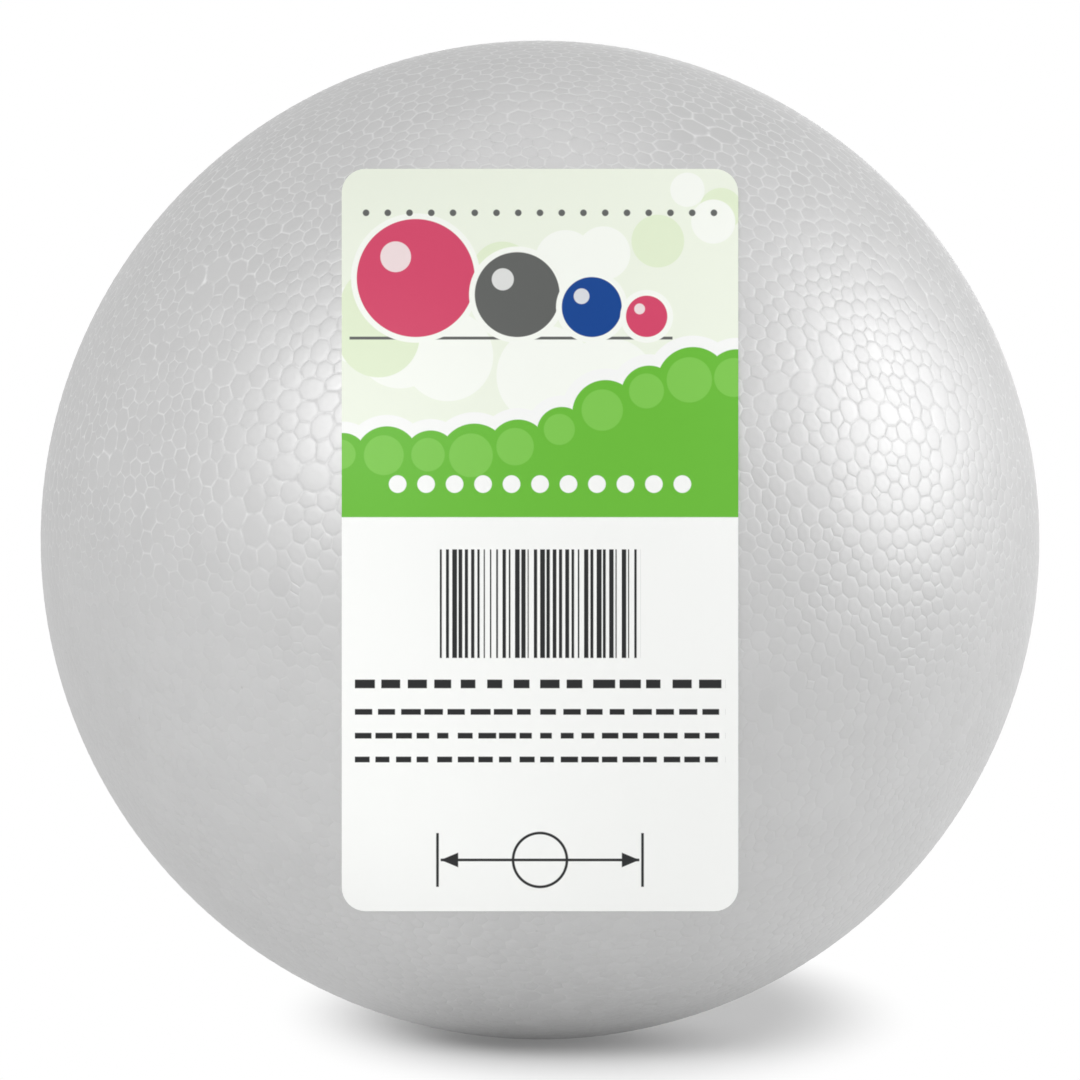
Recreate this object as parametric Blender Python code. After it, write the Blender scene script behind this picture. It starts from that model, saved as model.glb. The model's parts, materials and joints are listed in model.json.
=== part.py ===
# A moulded polystyrene ball with a label on its front.
# The ball is one bead-foam moulding. Its two mould halves met on the great circle that faces the
# front, and left a faint seam there. The label is a film sheet laid on the ball.
# Metres, +Z up. The origin is the point that the ball stands on, and the label looks along -Y.

import math

import bmesh
import bpy
from mathutils import Vector

# Ball
BALL_DIAMETER = 0.096
SEAM_WIDTH = 0.0008
SEAM_HEIGHT = 0.00012

# Label, as a flat sheet measured over the ball through its centre
LABEL_WIDTH = 0.0356
LABEL_HEIGHT = 0.0740
LABEL_CORNER_RADIUS = 0.0023
LABEL_THICKNESS = 0.00015
LABEL_CLEARANCE = 0.0003

# The label's edges look straight from this far in front of the ball's centre
SIGHT_DISTANCE = 0.480

# Facets: the ball's turn and its rows from a pole to the seam, and the label's grid
TURN_FACETS = 80
ROWS_TO_SEAM = 20
LABEL_COLUMNS = 14
LABEL_ROWS = 22
CORNER_ROWS = 5

# What follows from those sizes
BALL_RADIUS = BALL_DIAMETER / 2
CENTRE_HEIGHT = BALL_RADIUS + SEAM_HEIGHT
LABEL_RADIUS = BALL_RADIUS + LABEL_CLEARANCE

FOAM_WHITE = (0.60, 0.60, 0.60, 1.0)
LABEL_WHITE = (0.88, 0.89, 0.87, 1.0)


def clear_scene():
    for thing in list(bpy.data.objects):
        bpy.data.objects.remove(thing, do_unlink=True)


def plain_material(name, colour, roughness, ior):
    material = bpy.data.materials.new(name)
    material.use_nodes = True
    shader = material.node_tree.nodes["Principled BSDF"]
    shader.inputs["Base Color"].default_value = colour
    shader.inputs["Roughness"].default_value = roughness
    shader.inputs["Metallic"].default_value = 0.0
    shader.inputs["IOR"].default_value = ior
    return material


def object_from(name, shape, material):
    mesh = bpy.data.meshes.new(name)
    shape.to_mesh(mesh)
    shape.free()
    mesh.shade_smooth()
    mesh.materials.append(material)
    made = bpy.data.objects.new(name, mesh)
    bpy.context.scene.collection.objects.link(made)
    return made


# The ball

def seam_rise(across):
    # Height of the seam at a distance from its middle: a bell that dies out at the seam's edges.
    return SEAM_HEIGHT * math.cos(math.pi * across / SEAM_WIDTH) ** 2


def half_profile():
    # (distance from the Y axis, distance along it) from the front pole to the back one.
    seam_edge = math.pi / 2 - SEAM_WIDTH / 2 / BALL_RADIUS
    arc = [seam_edge * row / ROWS_TO_SEAM for row in range(ROWS_TO_SEAM + 1)]
    front = [(BALL_RADIUS * math.sin(turn), -BALL_RADIUS * math.cos(turn)) for turn in arc]
    back = [(out, -along) for out, along in reversed(front)]
    seam = []
    for across in (-SEAM_WIDTH / 4, 0.0, SEAM_WIDTH / 4):
        turn = across / BALL_RADIUS
        radius = BALL_RADIUS + seam_rise(across)
        seam.append((radius * math.cos(turn), radius * math.sin(turn)))
    return front + seam + back


def foam_ball():
    shape = bmesh.new()
    points = [shape.verts.new((out, along, 0.0)) for out, along in half_profile()]
    lines = [shape.edges.new(pair) for pair in zip(points, points[1:])]
    bmesh.ops.spin(
        shape,
        geom=points + lines,
        cent=(0.0, 0.0, 0.0),
        axis=(0.0, 1.0, 0.0),
        angle=2 * math.pi,
        steps=TURN_FACETS,
        use_merge=True,
    )
    bmesh.ops.remove_doubles(shape, verts=shape.verts, dist=SEAM_HEIGHT / 100)
    bmesh.ops.recalc_face_normals(shape, faces=shape.faces)
    ball = object_from("foam_ball", shape, plain_material("polystyrene", FOAM_WHITE, 0.42, 1.6))
    ball.location = (0.0, 0.0, CENTRE_HEIGHT)
    return ball


# The label

def sight_slope(arc):
    # Slope from the line of sight to a point this far over the ball from the label's centre.
    turn = arc / LABEL_RADIUS
    return LABEL_RADIUS * math.sin(turn) / (SIGHT_DISTANCE - LABEL_RADIUS * math.cos(turn))


def on_ball(slope_x, slope_z):
    # Where a line of sight with these slopes first meets the face of the ball, from its centre.
    eye = Vector((0.0, -SIGHT_DISTANCE, 0.0))
    ray = Vector((slope_x, 1.0, slope_z)).normalized()
    nearest = -eye.dot(ray)
    half_chord = math.sqrt(LABEL_RADIUS**2 - (eye + ray * nearest).length_squared)
    return eye + ray * (nearest - half_chord)


def label_rows(half_width, half_height, corner):
    # (height, half-width) of each row of the outline, bottom to top, closer through the corners.
    side = half_height - corner
    turns = [math.pi / 2 * step / CORNER_ROWS for step in range(CORNER_ROWS + 1)]
    top = [
        (side + corner * math.sin(turn), half_width - corner + corner * math.cos(turn))
        for turn in turns
    ]
    straight = [side * (2 * row / LABEL_ROWS - 1) for row in range(1, LABEL_ROWS)]
    bottom = [(-height, width) for height, width in reversed(top)]
    return bottom + [(height, half_width) for height in straight] + top


def label():
    half_width = sight_slope(LABEL_WIDTH / 2)
    half_height = sight_slope(LABEL_HEIGHT / 2)
    corner = LABEL_CORNER_RADIUS / SIGHT_DISTANCE
    shape = bmesh.new()
    grid = []
    for height, width in label_rows(half_width, half_height, corner):
        across = [width * (2 * column / LABEL_COLUMNS - 1) for column in range(LABEL_COLUMNS + 1)]
        grid.append([shape.verts.new(on_ball(x, height)) for x in across])
    for low, high in zip(grid, grid[1:]):
        for left in range(LABEL_COLUMNS):
            shape.faces.new((low[left], low[left + 1], high[left + 1], high[left]))
    sheet = object_from("label", shape, plain_material("label_film", LABEL_WHITE, 0.45, 1.5))
    film = sheet.modifiers.new("film", "SOLIDIFY")
    film.thickness = LABEL_THICKNESS
    film.offset = 1.0
    return sheet


def build():
    clear_scene()
    ball = foam_ball()
    sheet = label()
    sheet.parent = ball


build()
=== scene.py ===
# Looks of a polystyrene ball with a label on its front: bead foam, printed film, studio light.
# Metres, +Z up. The ball stands on its lowest point and the label looks along -Y.

import json
import math

import bpy
import numpy as np
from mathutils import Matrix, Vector, kdtree

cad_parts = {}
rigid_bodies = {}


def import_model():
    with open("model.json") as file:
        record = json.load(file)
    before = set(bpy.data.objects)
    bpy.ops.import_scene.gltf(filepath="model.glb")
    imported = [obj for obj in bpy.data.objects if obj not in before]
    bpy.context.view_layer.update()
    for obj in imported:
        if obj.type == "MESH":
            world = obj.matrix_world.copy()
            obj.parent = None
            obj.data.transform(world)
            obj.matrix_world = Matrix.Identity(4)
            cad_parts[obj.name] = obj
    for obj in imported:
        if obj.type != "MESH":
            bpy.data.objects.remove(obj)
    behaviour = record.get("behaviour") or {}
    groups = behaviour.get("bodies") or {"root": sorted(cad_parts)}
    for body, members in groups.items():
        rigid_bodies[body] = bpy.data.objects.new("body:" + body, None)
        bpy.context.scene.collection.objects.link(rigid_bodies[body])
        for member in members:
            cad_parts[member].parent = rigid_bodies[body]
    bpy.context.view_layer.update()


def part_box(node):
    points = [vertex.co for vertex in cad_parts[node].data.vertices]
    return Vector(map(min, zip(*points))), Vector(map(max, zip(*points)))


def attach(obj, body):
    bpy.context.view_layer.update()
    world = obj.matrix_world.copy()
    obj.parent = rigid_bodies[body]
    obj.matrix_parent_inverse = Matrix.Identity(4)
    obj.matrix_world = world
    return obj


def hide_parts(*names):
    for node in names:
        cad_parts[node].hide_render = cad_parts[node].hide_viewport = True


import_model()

ballLow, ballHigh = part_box("foam_ball")
ballCentre = (ballLow + ballHigh) / 2
ballRadius = (ballHigh.y - ballLow.y) / 2
seamHeight = (ballHigh.z - ballLow.z) / 2 - ballRadius


# Helpers for modelling

def deselectAll():
    for thing in bpy.context.view_layer.objects:
        thing.select_set(False)


def pick(thing):
    deselectAll()
    thing.hide_viewport = False
    thing.select_set(True)
    bpy.context.view_layer.objects.active = thing


def edit(thing, *steps):
    pick(thing)
    bpy.ops.object.mode_set(mode="EDIT")
    for step in steps:
        step()
    bpy.ops.object.mode_set(mode="OBJECT")


def selectAll():
    bpy.ops.mesh.select_all(action="SELECT")


def places(mesh):
    flat = np.empty(len(mesh.vertices) * 3)
    mesh.vertices.foreach_get("co", flat)
    return flat.reshape(-1, 3)


def movePoints(mesh, points):
    mesh.vertices.foreach_set("co", np.ascontiguousarray(points, dtype=np.float32).ravel())
    mesh.update()


def addValues(mesh, name, domain, values):
    layer = mesh.attributes.new(name, "FLOAT", domain)
    layer.data.foreach_set("value", np.ascontiguousarray(values, dtype=np.float32))


def lengths(points):
    return np.linalg.norm(points, axis=1, keepdims=True)


def unit(points):
    return points / lengths(points)


# Helpers for materials

class Wire:
    # One socket of a material. Expressions on wires add their Math nodes.
    def __init__(self, tree, socket):
        self.tree = tree
        self.socket = socket

    def math(self, operation, *values):
        return addNode(self.tree, "ShaderNodeMath", {"operation": operation}, [self, *values])

    def __add__(self, other):
        return self.math("ADD", other)

    def __sub__(self, other):
        return self.math("SUBTRACT", other)

    def __rsub__(self, other):
        return self.math("MULTIPLY", -1).math("ADD", other)

    def __mul__(self, other):
        return self.math("MULTIPLY", other)

    def __truediv__(self, other):
        return self.math("DIVIDE", other)

    def __neg__(self):
        return self.math("MULTIPLY", -1)

    def __abs__(self):
        return self.math("ABSOLUTE")

    __radd__ = __add__
    __rmul__ = __mul__

    def least(self, other):
        return self.math("MINIMUM", other)

    def most(self, other):
        return self.math("MAXIMUM", other)

    def clamped(self):
        return addNode(self.tree, "ShaderNodeClamp", {}, [self])

    def eased(self):
        kept = self.clamped()
        return kept * kept * (3 - 2 * kept)


def feed(tree, sockets, values):
    # values is a list in the order of the sockets, or a dictionary by name
    pairs = values.items() if isinstance(values, dict) else enumerate(values)
    for place, value in pairs:
        if isinstance(value, Wire):
            tree.links.new(value.socket, sockets[place])
        else:
            sockets[place].default_value = value


def addNode(tree, kind, settings, values, output=0):
    node = tree.nodes.new(kind)
    for name, setting in settings.items():
        setattr(node, name, setting)
    feed(tree, node.inputs, values)
    return Wire(tree, node.outputs[output])


def addMix(tree, share, first, second):
    node = tree.nodes.new("ShaderNodeMix")
    node.data_type = "RGBA"
    feed(tree, [socket for socket in node.inputs if socket.enabled], [share, first, second])
    return Wire(tree, next(socket for socket in node.outputs if socket.enabled))


def addNoise(tree, where, scale, detail):
    values = {"Vector": where, "Scale": scale, "Detail": detail}
    return addNode(tree, "ShaderNodeTexNoise", {}, values)


def axesOf(tree, vector):
    split = addNode(tree, "ShaderNodeSeparateXYZ", {}, [vector]).socket.node
    return [Wire(tree, socket) for socket in split.outputs]


def newMaterial(name):
    material = bpy.data.materials.new(name)
    material.use_nodes = True
    tree = material.node_tree
    return material, tree, tree.nodes["Principled BSDF"]


def paint(red, green, blue):
    # A colour as a picture shows it, 0 to 255, made linear
    def linear(value):
        share = value / 255
        return share / 12.92 if share <= 0.04045 else ((share + 0.055) / 1.055) ** 2.4

    return (linear(red), linear(green), linear(blue), 1.0)


# Camera: level with the ball's centre, where the label's edges look straight

camera = {
    "distance": 0.480,
    "ballShare": 999 / 1080,  # the ball's width over the picture's
    "sensor": 36.0,
}


def addCamera():
    lens = bpy.data.cameras.new("camera")
    spread = math.tan(math.asin(ballRadius / camera["distance"]))
    lens.sensor_width = camera["sensor"]
    lens.lens = camera["sensor"] * camera["ballShare"] / (2 * spread)
    lens.clip_start = 0.01
    holder = bpy.data.objects.new("camera", lens)
    holder.location = ballCentre - Vector((0, camera["distance"], 0))
    holder.rotation_euler = (math.pi / 2, 0, 0)
    bpy.context.scene.collection.objects.link(holder)
    bpy.context.scene.camera = holder


# The bead foam ball

foam = {
    "beads": 13500,
    "spare": 3,              # how many times as many places there are to choose from
    "seed": 20,
    "jitter": 0.0004,        # how far a bead strays from an even layout
    "sizeSpread": 0.12,      # how much one bead's size differs from the next
    "packing": 0.866,        # how much of a square of its width a bead takes
    "settleSteps": 8,
    "settlePush": 0.35,
    "neighbours": 6,
    "evening": (0.5, 2),     # how far, and how often, a bead moves between its neighbours
    "domeHeight": 0.00002,
    "pitShare": 0.002,       # of the corners where beads meet
    "pitDepth": 0.00002,
    "seamWidth": 0.0008,
}

# Where the beads are coarser: direction, how much more room each one takes, reach in radians
coarser = (
    ((0.61, -0.76, 0.22), 0.30, 0.35),
    ((-0.50, -0.84, 0.20), 0.70, 0.30),
    ((0.54, -0.54, 0.65), 0.45, 0.32),
    ((0.00, -0.50, 0.87), 0.30, 0.30),
)
# Slow ripples in the layout, so that its rows never run straight
ripples = {"count": 120, "reach": 0.10, "shift": 0.010, "leastShift": 0.3, "seed": 5}


def beadRoom(points):
    room = np.ones(len(points))
    for middle, more, reach in coarser:
        angle = np.arccos(np.clip(points @ unit(np.array([middle]))[0], -1, 1))
        room += more * np.exp(-((angle / reach) ** 2))
    return room


def ripplePoints(points):
    rng = np.random.default_rng(ripples["seed"])
    middles = unit(rng.normal(size=(ripples["count"], 3)))
    shifts = unit(np.cross(middles, rng.normal(size=middles.shape)))
    shares = rng.uniform(ripples["leastShift"], 1, size=(ripples["count"], 1))
    shifts *= ripples["shift"] * shares
    moved = points.copy()
    for middle, shift in zip(middles, shifts):
        near = np.exp(-((points - middle) ** 2).sum(axis=1) / ripples["reach"] ** 2)
        moved += near[:, None] * shift
    return unit(moved)


def scatterBeads():
    # Bead centres on a unit sphere, further apart where the beads are coarser
    rng = np.random.default_rng(foam["seed"])
    spare = foam["beads"] * foam["spare"]
    step = np.arange(spare) + 0.5
    height = 1 - 2 * step / spare
    turn = step * math.pi * (3 - math.sqrt(5))  # the golden angle for each step
    ring = np.sqrt(1 - height**2)
    points = np.stack([ring * np.cos(turn), ring * np.sin(turn), height], axis=1)
    order = rng.random(spare) * beadRoom(points)
    points = points[np.sort(np.argsort(order)[: foam["beads"]])]
    points = unit(points + rng.normal(0, foam["jitter"] / ballRadius, points.shape))
    room = beadRoom(points)
    wanted = np.sqrt(4 * math.pi / foam["packing"] / len(points) * room / room.mean())
    return settle(points, wanted * np.exp(rng.normal(0, foam["sizeSpread"], len(points))))


def settle(points, wanted):
    # Beads push their neighbours off until each has about the room that it wants
    for _ in range(foam["settleSteps"]):
        tree = kdtree.KDTree(len(points))
        for number, point in enumerate(points):
            tree.insert(point, number)
        tree.balance()
        push = np.zeros_like(points)
        for number, point in enumerate(points):
            for _, other, gap in tree.find_n(point, foam["neighbours"] + 1):
                room = (wanted[number] + wanted[other]) / 2
                if other != number and gap < room:
                    push[number] += (point - points[other]) / max(gap, 1e-9) * (room - gap)
        points = unit(points + foam["settlePush"] * push)
    return points


def hull():
    # Joined triangles would turn into square cells
    bpy.ops.mesh.convex_hull(join_triangles=False)


def cellMesh(points):
    # One flat cell for each bead: a hull over the centres, turned inside out into its dual
    mesh = bpy.data.meshes.new("bead_foam")
    mesh.from_pydata([tuple(point) for point in points], [], [])
    ball = bpy.data.objects.new("bead_foam", mesh)
    bpy.context.scene.collection.objects.link(ball)
    share, rounds = foam["evening"]
    for _ in range(rounds):
        edit(
            ball,
            selectAll,
            hull,
            lambda: bpy.ops.mesh.vertices_smooth(factor=share),
            lambda: bpy.ops.mesh.delete(type="EDGE_FACE"),
        )
        movePoints(ball.data, unit(places(ball.data)))
    edit(ball, selectAll, hull)
    group = bpy.data.node_groups.new("cells", "GeometryNodeTree")
    group.interface.new_socket("Geometry", in_out="INPUT", socket_type="NodeSocketGeometry")
    group.interface.new_socket("Geometry", in_out="OUTPUT", socket_type="NodeSocketGeometry")
    start = group.nodes.new("NodeGroupInput")
    dual = group.nodes.new("GeometryNodeDualMesh")
    end = group.nodes.new("NodeGroupOutput")
    group.links.new(start.outputs[0], dual.inputs[0])
    group.links.new(dual.outputs[0], end.inputs[0])
    pick(ball)
    ball.modifiers.new("cells", "NODES").node_group = group
    bpy.ops.object.modifier_apply(modifier="cells")
    bpy.data.node_groups.remove(group)
    return ball


def beadFrames(mesh):
    # A middle and two stretched axes for each cell, in which its corners lie at about 1
    points = unit(places(mesh))
    middles = []
    axes = []
    for cell in mesh.polygons:
        corners = points[list(cell.vertices)]
        middle = corners.mean(axis=0)
        middle /= np.linalg.norm(middle)
        side = np.cross(middle, (0.0, 0.0, 1.0) if abs(middle[2]) < 0.9 else (1.0, 0.0, 0.0))
        side /= np.linalg.norm(side)
        flat = np.stack([side, np.cross(middle, side)])
        spread = (corners - middle) @ flat.T
        sizes, turns = np.linalg.eigh(spread.T @ spread / len(corners))
        middles.append(middle)
        axes.append((turns / np.sqrt(2 * sizes)).T @ flat)
    return np.array(middles), np.array(axes)


def raiseBeads(ball):
    # Each cell becomes a low dome, with its own flat layout for the groove round it
    mesh = ball.data
    corners = len(mesh.vertices)
    middles, axes = beadFrames(mesh)
    rng = np.random.default_rng(foam["seed"] + 1)
    addValues(mesh, "beadTone", "FACE", rng.normal(0, 1, len(mesh.polygons)))
    number = mesh.attributes.new("beadNumber", "INT", "FACE")
    number.data.foreach_set("value", np.arange(len(mesh.polygons), dtype=np.int32))
    edit(ball, selectAll, bpy.ops.mesh.poke)
    mesh = ball.data
    points = unit(places(mesh))

    # Each corner of each face gets its place in its own bead's frame
    ends = np.empty(len(mesh.loops), dtype=np.int32)
    mesh.loops.foreach_get("vertex_index", ends)
    numbers = np.empty(len(mesh.polygons), dtype=np.int32)
    mesh.attributes["beadNumber"].data.foreach_get("value", numbers)
    owners = np.repeat(numbers, 3)
    spots = np.einsum("nij,nj->ni", axes[owners], points[ends] - middles[owners])
    layout = mesh.uv_layers.new(name="bead")
    layout.data.foreach_set("uv", spots.astype(np.float32).ravel())

    radius = np.full((len(points), 1), ballRadius)
    radius[:corners] -= foam["domeHeight"]
    pits = np.zeros(len(points))
    pits[:corners] = rng.random(corners) < foam["pitShare"]
    radius[:, 0] -= pits * foam["pitDepth"]
    movePoints(mesh, points * radius)
    rise = np.ones(len(points))
    rise[:corners] = 0
    addValues(mesh, "rise", "POINT", rise)
    # The sunk pits, which also get a painted shade
    addValues(mesh, "pitShade", "POINT", pits)


def raiseSeam(ball):
    # The two mould halves met here: a thin raised line round the ball
    width = foam["seamWidth"]
    for share in (-0.5, -0.25, 0.0, 0.25, 0.5):
        edit(
            ball,
            selectAll,
            lambda: bpy.ops.mesh.bisect(plane_co=(0, share * width, 0), plane_no=(0, 1, 0)),
        )
    points = places(ball.data)
    across = np.clip(points[:, 1] / width, -0.5, 0.5)
    lift = np.cos(math.pi * across) ** 2
    radius = lengths(points)[:, 0]
    radius += lift * (ballRadius + seamHeight - radius)
    movePoints(ball.data, unit(points) * radius[:, None])


skin = {
    "bead": (193, 200),          # grey of the darkest and the palest beads
    "cloud": (90.0, 1.5),        # soft patches of grey: scale, and how strongly they show
    "toneShare": 0.12,           # how strongly one bead's grey differs from the next
    "groove": 216,               # grey of the pale lines where beads meet: a painted highlight of the light caught in the grooves
    "junctionGlint": 230,             # and the painted glint where three of them meet
    "junctionFrom": 0.95,        # of the way from a bead's middle to its corners
    "junctionWidth": 0.15,
    "patches": (1100.0, 4, 0.6),  # how the painted pale lines come and go: scale, contrast, level
    "upperFrom": (0.028, 0.056),   # heights between which the painted pale lines fade in towards the top, and the relief eases
    "broad": (0.066, 0.084),     # heights between which the painted pale lines broaden
    "broadShare": 0.7,
    "broadLevel": 0.3,           # how much fuller they are there
    # the least share of the painted pale lines that stays low on the ball
    "leastUpper": 0.35,
    "pitShade": 178,                  # grey of the painted shade in the few small pits
    "pitSharpness": 5,           # only the very middle of a pit gets the painted shade
    "edge": 0.22,                # how much of a bead its rounded edge takes
    "outline": 1.02,             # where a bead's round outline cuts its corners
    "edgeHeight": 0.000012,
    "dome": 0.65,                # how much of a bead its dome's soft side takes
    "domeHeight": 0.000022,
    "lowerRelief": 1.45,       # how much stronger the relief is low on the ball than high up
    "grain": 2600.0,
    "grainHeight": 0.0000020,
    "roughness": 0.48,
    "roughnessSpread": (0.06, 0.015, 0.08),  # by the groove, the bead's tone and the grain
    "metallic": (0.12, 0.32),    # the pearly sheen in the grooves and on the beads
    "ior": 1.6,
    "tint": (0.7, 0.7, 0.7, 1),
}


def foamMaterial():
    material, tree, shader = newMaterial("polystyrene")
    rise, tone, pitShade = (
        addNode(tree, "ShaderNodeAttribute", {"attribute_name": name}, [], "Fac")
        for name in ("rise", "beadTone", "pitShade")
    )
    spot = addNode(tree, "ShaderNodeUVMap", {"uv_map": "bead"}, [])
    far = addNode(tree, "ShaderNodeVectorMath", {"operation": "LENGTH"}, [spot], "Value")
    where = addNode(tree, "ShaderNodeTexCoord", {}, [], "Object")
    up = axesOf(tree, where)[2]
    cloudScale, cloudShare = skin["cloud"]
    cloud = addNoise(tree, where, cloudScale, 3.0)
    grain = addNoise(tree, where, skin["grain"], 4.0)

    # 0 in a groove, 1 on a bead: by the way in from the cell's side and from the round outline
    side = rise / skin["edge"]
    outline = (skin["outline"] - far) / skin["edge"]
    flat = side.math("SMOOTH_MIN", outline, 0.5).eased()
    dome = ((1 - far) / skin["dome"]).eased()
    upperFrom, upperTo = skin["upperFrom"]
    # Rises from low on the ball to high up: where the grooves get their painted highlight, and how
    # the relief eases
    upperShare = ((up - upperFrom) / (upperTo - upperFrom)).eased().most(skin["leastUpper"])
    thin, thick = skin["broad"]
    breadth = ((up - thin) / (thick - thin)).eased()
    groove = (1 - flat) * upperShare
    scale, contrast, level = skin["patches"]
    patchy = (addNoise(tree, where, scale, 2.0) - 0.5) * contrast + level
    broader = groove + (1 - groove) * breadth * skin["broadShare"]
    # Painted highlight: pale lines where the grooves catch the light, patchy, and fuller high up
    line = groove * broader * (patchy + breadth * skin["broadLevel"]).clamped()
    # Painted glints where three beads meet
    junctionGlint = ((far - skin["junctionFrom"]) / skin["junctionWidth"]).eased() * line
    # Painted shade in the pits
    pitShadeMask = (pitShade - 1) * skin["pitSharpness"] + 1

    shade = (tone * skin["toneShare"] + (cloud - 0.5) * cloudShare + 0.5).clamped()
    darkest, palest = (paint(grey, grey, grey) for grey in skin["bead"])
    bead = addMix(tree, shade, darkest, palest)
    # Painted highlights in the grooves and where beads meet, and painted shade in the pits, over
    # the beads' own greys
    for mask, name in ((line, "groove"), (junctionGlint, "junctionGlint"), (pitShadeMask, "pitShade")):
        grey = skin[name]
        bead = addMix(tree, mask.clamped(), bead, paint(grey, grey, grey))
    byGroove, byTone, byGrain = skin["roughnessSpread"]
    roughness = skin["roughness"] + (1 - flat) * byGroove + tone * byTone + (grain - 0.5) * byGrain
    dull, pearly = skin["metallic"]
    relief = flat * skin["edgeHeight"] + dome * skin["domeHeight"]
    softer = skin["lowerRelief"]
    height = relief * (softer - upperShare * (softer - 1)) + grain * skin["grainHeight"]
    feed(tree, shader.inputs, {
        "Base Color": bead,
        "Roughness": roughness,
        "Metallic": pearly - groove * (pearly - dull),
        "IOR": skin["ior"],
        "Specular Tint": skin["tint"],
        "Normal": addNode(tree, "ShaderNodeBump", {}, {"Height": height, "Distance": 1.0}),
    })
    return material


def addBall():
    ball = cellMesh(scatterBeads())
    movePoints(ball.data, ripplePoints(unit(places(ball.data))))
    raiseBeads(ball)
    raiseSeam(ball)
    movePoints(ball.data, places(ball.data) + np.array(ballCentre))
    ball.data.shade_smooth()
    ball.data.materials.append(foamMaterial())
    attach(ball, "root")
    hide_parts("foam_ball")
    return ball


# Floor and light

floor = {
    "size": 12.0,
    "colour": 0.90,
    "glow": 0.24,                      # lit from below a little, as a light table is
    "glowInShadow": 0.4,               # of that
    "shadowMiddle": (0.0055, 0.036),   # the soft shadow that the camera sees, an oval on the floor
    "shadowReach": (0.0255, 0.070),
    "shadowFade": (0.70, 1.30),        # of that reach, from shadow to white
    "shadowLight": 0.13,
    "shadowDepth": 0.85,
}


def showsBackground(tree):
    seen = [
        addNode(tree, "ShaderNodeLightPath", {}, [], name)
        for name in ("Is Camera Ray", "Is Glossy Ray", "Is Transmission Ray")
    ]
    return (seen[0] + seen[1] + seen[2]).clamped()


def addFloor():
    deselectAll()
    bpy.ops.mesh.primitive_plane_add(size=floor["size"])
    plane = bpy.context.object
    plane.name = "floor"
    material = bpy.data.materials.new("white floor")
    material.use_nodes = True
    tree = material.node_tree
    tree.nodes.clear()
    where = addNode(tree, "ShaderNodeTexCoord", {}, [], "Object")
    middle = (*floor["shadowMiddle"], 0)
    reach = (*floor["shadowReach"], 1)
    away = addNode(tree, "ShaderNodeVectorMath", {"operation": "SUBTRACT"}, [where, middle])
    away = addNode(tree, "ShaderNodeVectorMath", {"operation": "DIVIDE"}, [away, reach])
    away = addNode(tree, "ShaderNodeVectorMath", {"operation": "LENGTH"}, [away], "Value")
    near, far = floor["shadowFade"]
    least = floor["shadowLight"]
    white = ((away - near) / (far - near)).eased() * (1 - least) + least
    shade = (1 - white) * floor["shadowDepth"]
    colour = (floor["colour"],) * 3 + (1,)
    shade = addMix(tree, shade, (0, 0, 0, 1), colour)
    plain = addNode(tree, "ShaderNodeBsdfDiffuse", {}, {"Color": colour})
    dim = floor["glowInShadow"]
    strength = (white * (1 - dim) + dim) * floor["glow"]
    glow = addNode(tree, "ShaderNodeEmission", {}, {"Strength": strength})
    plain = addNode(tree, "ShaderNodeAddShader", {}, [plain, glow])
    shaded = addNode(tree, "ShaderNodeBsdfDiffuse", {}, {"Color": shade})
    bright = addNode(tree, "ShaderNodeEmission", {}, {"Strength": white})
    shown = addNode(tree, "ShaderNodeAddShader", {}, [shaded, bright])
    seen = addNode(tree, "ShaderNodeMixShader", {}, [showsBackground(tree), plain, shown])
    end = tree.nodes.new("ShaderNodeOutputMaterial")
    tree.links.new(seen.socket, end.inputs["Surface"])
    plane.data.materials.append(material)


lamps = {
    # name: direction from the ball's centre, distance, width, watts
    "right": ((0.937, -0.009, 0.349), 0.70, 0.53, 2.72),
    "left": ((-0.546, -0.711, 0.443), 0.70, 0.42, 2.22),
    "top": ((0.0, -0.02, 1.0), 0.70, 0.52, 0.53),
    "back": ((0.05, 1.0, 0.10), 0.90, 0.40, 1.50),
}
worldLight = 0.27


def addLights():
    for name, (direction, distance, width, power) in lamps.items():
        light = bpy.data.lights.new(name, "AREA")
        light.shape = "DISK"
        light.size = width
        light.energy = power
        lamp = bpy.data.objects.new(name, light)
        away = Vector(direction).normalized()
        lamp.location = ballCentre + away * distance
        lamp.rotation_euler = away.to_track_quat("Z", "Y").to_euler()
        bpy.context.scene.collection.objects.link(lamp)
    world = bpy.data.worlds.new("studio")
    world.use_nodes = True
    bpy.context.scene.world = world
    tree = world.node_tree
    back = tree.nodes["Background"]
    back.inputs["Color"].default_value = (1, 1, 1, 1)
    strength = worldLight + showsBackground(tree) * (1 - worldLight)
    tree.links.new(strength.socket, back.inputs["Strength"])


# The label

label = {
    "width": 0.0383,       # as seen over the ball's centre
    "height": 0.0717,
    "corner": 0.0023,
    "cornerSteps": 8,
    "sharpAngle": 40,      # degrees from which an edge stays sharp
    "step": 0.0020,        # between cuts, so that it bends evenly
    "clearance": 0.00003,
    "thickness": 0.00010,
}


def sightPoint(points, radius):
    # Points on the plane over the ball's centre, moved along the line of sight onto the ball
    eye = np.array([0, -camera["distance"], 0])
    ray = unit(points - eye)
    nearest = -(ray @ eye)
    closest = ((eye + ray * nearest[:, None]) ** 2).sum(axis=1)
    reach = nearest - np.sqrt(radius**2 - closest)
    return eye + ray * reach[:, None]


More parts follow.
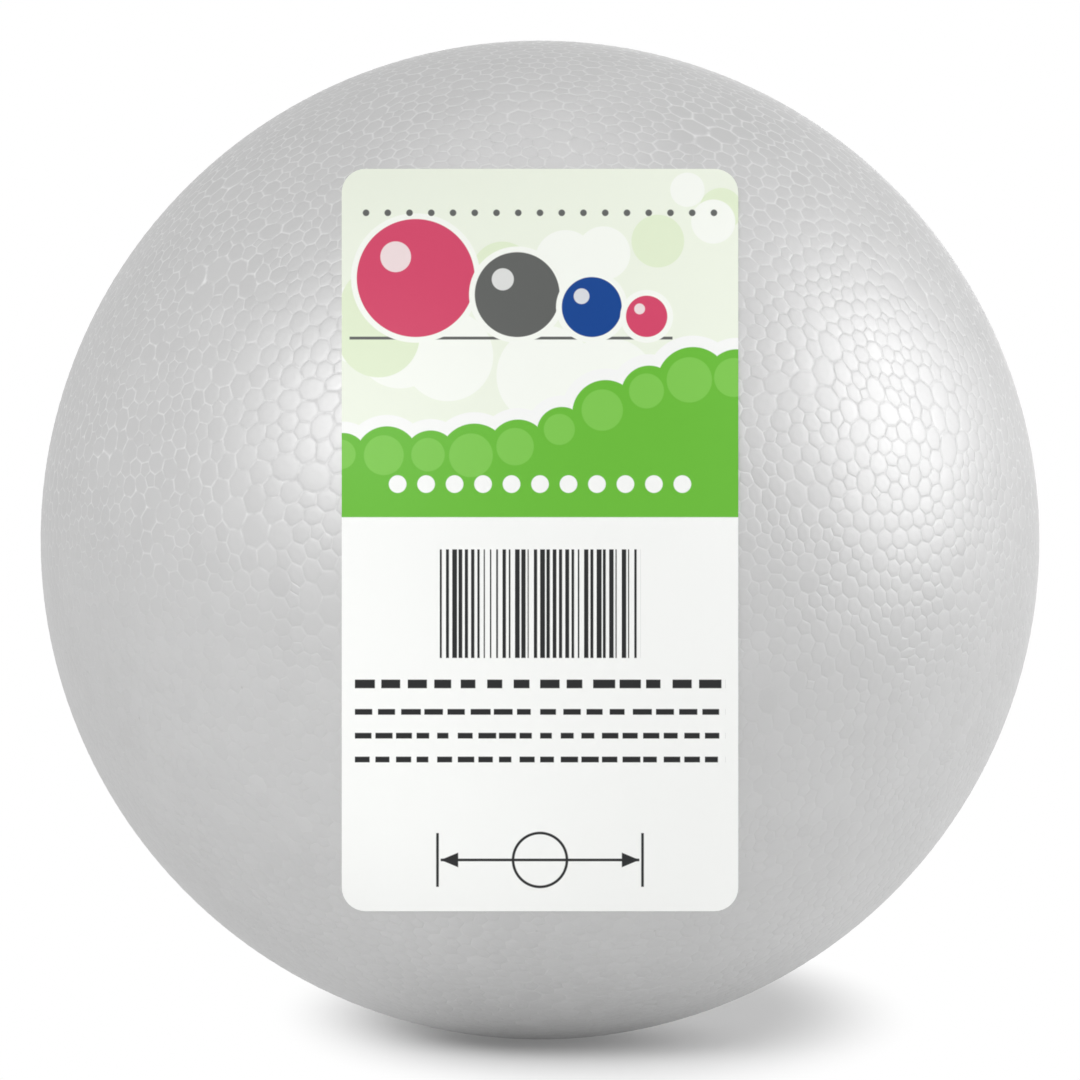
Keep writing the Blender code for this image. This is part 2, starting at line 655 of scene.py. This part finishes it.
def addLabel():
    deselectAll()
    bpy.ops.mesh.primitive_plane_add(size=1, rotation=(math.pi / 2, 0, 0))
    sheet = bpy.context.object
    sheet.name = "printed_label"
    sheet.data.name = "printed_label"
    sheet.scale = (label["width"], label["height"], 1)
    bpy.ops.object.transform_apply(location=True, rotation=True, scale=True)
    edit(
        sheet,
        selectAll,
        lambda: bpy.ops.mesh.bevel(
            offset=label["corner"],
            affect="VERTICES",
            segments=label["cornerSteps"],
            offset_type="OFFSET",
        ),
    )
    cuts = []
    for axis, size in (((1, 0, 0), label["width"]), ((0, 0, 1), label["height"])):
        count = round(size / label["step"])
        for number in range(1, count):
            shift = size * (number / count - 0.5)
            cuts.append((tuple(shift * part for part in axis), axis))
    for place, axis in cuts:
        edit(
            sheet,
            selectAll,
            lambda: bpy.ops.mesh.bisect(plane_co=place, plane_no=axis),
        )
    flat = places(sheet.data)
    outer = ballRadius + label["clearance"] + label["thickness"]
    movePoints(sheet.data, sightPoint(flat, outer) + np.array(ballCentre))
    layout = sheet.data.uv_layers.new(name="print")
    for loop in sheet.data.loops:
        point = flat[loop.vertex_index]
        layout.data[loop.index].uv = (point[0] * 1000, point[2] * 1000)
    sheet.data.uv_layers.active = layout
    pick(sheet)
    thicken = sheet.modifiers.new("film", "SOLIDIFY")
    thicken.thickness = label["thickness"]
    thicken.offset = -1
    bpy.ops.object.modifier_apply(modifier="film")
    sheet.data.shade_smooth()
    sheet.data.set_sharp_from_angle(angle=math.radians(label["sharpAngle"]))
    sheet.data.materials.append(labelMaterial())
    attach(sheet, "root")
    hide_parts("label")
    return sheet


# The print is plain shapes: balls, beads, bars and rules
inks = {
    "paper": paint(250, 251, 249),
    "pale": paint(241, 247, 232),
    "paler": paint(250, 253, 246),
    "mist": paint(229, 241, 211),
    "green": paint(107, 187, 58),
    "lightGreen": paint(128, 200, 82),
    "pink": paint(212, 71, 106),
    "blue": paint(8, 66, 142),
    "grey": paint(94, 96, 94),
    "ink": paint(36, 37, 38),
}
artwork = {  # millimetres from the label's middle
    "soft": 0.05,               # half the width of a printed edge
    "fieldLow": 2.2,
    # Pale beads on the field: how many, how far out, lowest, how much higher, least radius, spread
    "drift": (16, 17.5, 14.0, 21.0, 1.6, 3.6),
    "heap": (8.5, 16.0, -7.0, 17.0),  # low and high side, and where the slope starts and ends
    "heapBeads": (10, 19.0, 2.3, 1.3),  # how many, how far out, least radius and its spread
    "rim": 1.1,
    "row": 19.6,                # what the balls stand on
    "balls": (                  # middle, radius, ink
        (-12.0, 5.7, "pink"),
        (-2.2, 4.1, "grey"),
        (5.0, 2.9, "blue"),
        (10.3, 2.0, "pink"),
    ),
    "dots": (31.6, 2.1, 0.32, 16.9),  # height, spacing, radius, how far out
    "bandDots": (5.4, 2.75, 0.85, 14.0),
    "bars": (-0.9, -11.4, 9.7, 16),  # top, foot, half-width, how many from the middle
    # Of each rule: height, half its thickness, strokes from the middle
    "rules": ((-13.9, 0.42, 7), (-16.6, 0.28, 8), (-18.9, 0.28, 9), (-21.2, 0.28, 9)),
    "ruleSpan": 17.9,
    "barFill": (0.2, 0.85),     # least and most of its place that a bar or a rule's stroke fills
    "ruleFill": (0.55, 0.88),
    "sizeMark": (-30.9, 9.6, 2.6, 0.13),  # height, half-width, ring radius, half line
}


class Artwork:
    # Masks for the print, over the label's own flat layout
    def __init__(self, tree):
        self.tree = tree
        self.spot = addNode(tree, "ShaderNodeUVMap", {"uv_map": "print"}, [])
        self.across, self.up = axesOf(tree, self.spot)[:2]

    def edge(self, value):
        # 1 where the value is above zero, with a soft step
        soft = artwork["soft"]
        return addNode(self.tree, "ShaderNodeMapRange", {}, [value, -soft, soft, 0.0, 1.0])

    def farFrom(self, x, z):
        settings = {"operation": "DISTANCE"}
        values = [self.spot, (x, z, 0)]
        return addNode(self.tree, "ShaderNodeVectorMath", settings, values, "Value")

    def disc(self, x, z, radius):
        soft = artwork["soft"]
        values = [self.farFrom(x, z), radius - soft, radius + soft, 1.0, 0.0]
        return addNode(self.tree, "ShaderNodeMapRange", {}, values)

    def ring(self, x, z, radius, half):
        return self.edge(half - abs(self.farFrom(x, z) - radius))

    def bar(self, x, z, halfWide, halfHigh):
        wide = self.edge(halfWide - abs(self.across - x))
        return wide * self.edge(halfHigh - abs(self.up - z))

    def chance(self, number, seed):
        settings = {"noise_dimensions": "1D"}
        return addNode(self.tree, "ShaderNodeTexWhiteNoise", settings, {"W": number + seed})

    def dotRow(self, height, spacing, radius, reach):
        # Evenly spaced dots: distance to the nearest of them along the row
        nearest = (self.across / spacing).math("ROUND")
        x = self.across - nearest * spacing
        z = self.up - height
        gap = (x * x + z * z).math("SQRT")
        return self.edge(radius - gap) * self.edge(reach + radius - abs(self.across))

    def dashes(self, height, half, span, count, least, most, seed):
        # Strokes of uneven length, one for each cell of the row, with count cells to each side
        spacing = span / count
        cell = self.across / spacing + seed
        number = cell.math("FLOOR")
        inside = cell - number
        filled = self.chance(number, seed) * (most - least) + least
        stroke = self.edge((filled - inside) * spacing) * self.edge(inside * spacing)
        return stroke * self.bar(0, height, span, half)


def heapHeight(x):
    low, high, start, end = artwork["heap"]
    share = min(max((x - start) / (end - start), 0), 1)
    return low + (high - low) * share * share * (3 - 2 * share)


def printColour(tree):
    art = Artwork(tree)
    field = art.edge(art.up - artwork["fieldLow"])
    colour = addMix(tree, field, inks["paper"], inks["pale"])

    def lay(mask, ink):
        nonlocal colour
        colour = addMix(tree, mask, colour, inks[ink])

    # Pale beads drifting over the field
    count, reach, low, high, least, more = artwork["drift"]
    for number in range(count):
        x = reach * math.sin(2.4 * number + 0.6)
        z = low + high * ((number * 0.618) % 1)
        radius = least + more * ((number * 0.377) % 1)
        lay(art.disc(x, z, radius) * field, "paler" if number % 3 else "mist")

    # A heap of green beads under a white rim: how far outside the heap a point is
    low, high, start, end = artwork["heap"]
    share = addNode(tree, "ShaderNodeMapRange", {}, [art.across, start, end, 0.0, 1.0])
    outside = art.up - (share.eased() * (high - low) + low)
    beads = []
    count, reach, least, more = artwork["heapBeads"]
    for number in range(count):
        x = reach * (2 * number / (count - 1) - 1)
        radius = least + more * ((number * 0.618) % 1)
        beads.append((x, heapHeight(x) - 0.2 * radius, radius))
    for x, z, radius in beads:
        outside = outside.least(art.farFrom(x, z) - radius)
    lay(art.edge(artwork["rim"] - outside) * field, "paper")
    lay(art.edge(-outside) * field, "green")
    for x, z, radius in beads:
        lay(art.disc(x - 0.1 * radius, z + 0.1 * radius, radius * 0.62) * field, "lightGreen")
    lay(art.dotRow(*artwork["bandDots"]), "paper")

    # Balls in their sizes, on a line
    lay(art.bar(-2.8, artwork["row"] - 0.1, 15.6, 0.14), "grey")
    for x, radius, ink in artwork["balls"]:
        z = artwork["row"] + radius
        lay(art.disc(x, z, radius + 0.55), "paler")
        lay(art.disc(x, z, radius), ink)
        shine = art.disc(x - 0.34 * radius, z + 0.36 * radius, 0.26 * radius)
        lay(shine * 0.75, "paper")
    lay(art.dotRow(*artwork["dots"]), "grey")

    # Upright bars, broken rules and a mark for the ball's size
    top, foot, half, count = artwork["bars"]
    fill = artwork["barFill"]
    lay(art.dashes((top + foot) / 2, (top - foot) / 2, half, count, *fill, 3), "ink")
    span, fill = artwork["ruleSpan"], artwork["ruleFill"]
    for number, (height, thick, strokes) in enumerate(artwork["rules"]):
        lay(art.dashes(height, thick, span, strokes, *fill, 40 * number), "ink")
    height, reach, radius, line = artwork["sizeMark"]
    lay(art.ring(0, height, radius, line), "ink")
    lay(art.bar(0, height, reach, line), "ink")
    for side in (-1, 1):
        lay(art.bar(side * (reach + 0.3), height, line, radius), "ink")
        inward = reach - art.across * side
        arrow = art.edge(inward * 0.42 - abs(art.up - height)) * art.edge(1.7 - inward)
        lay(arrow * art.edge(inward), "ink")
    return colour


film = {
    "roughness": 0.48,
    "roughnessSpread": 0.12,
    "sheen": 0.22,
    "grain": 1800.0,
    "grainHeight": 0.000002,
}


def labelMaterial():
    material, tree, shader = newMaterial("printed film")
    where = addNode(tree, "ShaderNodeTexCoord", {}, [], "Object")
    fine = addNoise(tree, where, film["grain"], 3.0)
    height = fine * film["grainHeight"]
    feed(tree, shader.inputs, {
        "Base Color": printColour(tree),
        "Roughness": film["roughness"] + (fine - 0.5) * film["roughnessSpread"],
        "Specular IOR Level": film["sheen"],
        "Normal": addNode(tree, "ShaderNodeBump", {}, {"Height": height, "Distance": 1.0}),
    })
    return material


addCamera()
print("camera set")
addBall()
print("ball made")
addLabel()
print("label made")
addFloor()
addLights()
print("floor and light set")

bpy.context.scene.view_settings.view_transform = "Standard"
